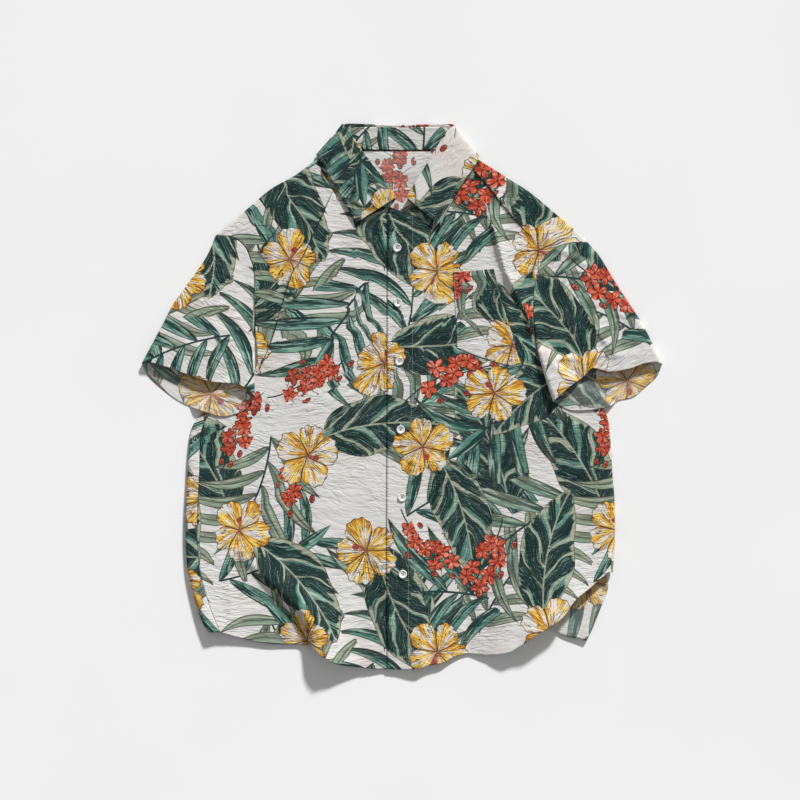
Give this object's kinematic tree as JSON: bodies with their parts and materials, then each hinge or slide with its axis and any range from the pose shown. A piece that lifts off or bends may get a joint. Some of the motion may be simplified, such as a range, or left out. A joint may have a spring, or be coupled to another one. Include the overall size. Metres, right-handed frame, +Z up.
{
  "type": "hawaiian shirt",
  "caption": "Short-sleeved button-front shirt with a turned-down collar and chest pocket, in an all-over tropical flower and leaf print, laid flat face up.",
  "frame": {"origin": "on the surface that the shirt lies on, under the back panel, level with the underarms' lower end and on the line of the buttons", "axes": "+Z up from the surface through the back and then the fronts, +Y from the hem towards the collar, +X towards the wearer's left sleeve"},
  "size_m": [0.739, 0.7753, 0.0294],
  "materials": {
    "printed_cotton": "matt crinkled cotton with an all-over flower and leaf print",
    "shirt_button": "white, satin pearly sheen"
  },
  "bodies": {
    "root": {"back": "printed_cotton", "front_right": "printed_cotton", "front_left": "printed_cotton", "sleeve_right": "printed_cotton", "sleeve_left": "printed_cotton", "collar_stand": "printed_cotton", "collar_leaf": "printed_cotton", "pocket": "printed_cotton", "button_1": "shirt_button", "button_2": "shirt_button", "button_3": "shirt_button", "button_4": "shirt_button", "button_5": "shirt_button", "button_6": "shirt_button"}
  },
  "joints": []
}
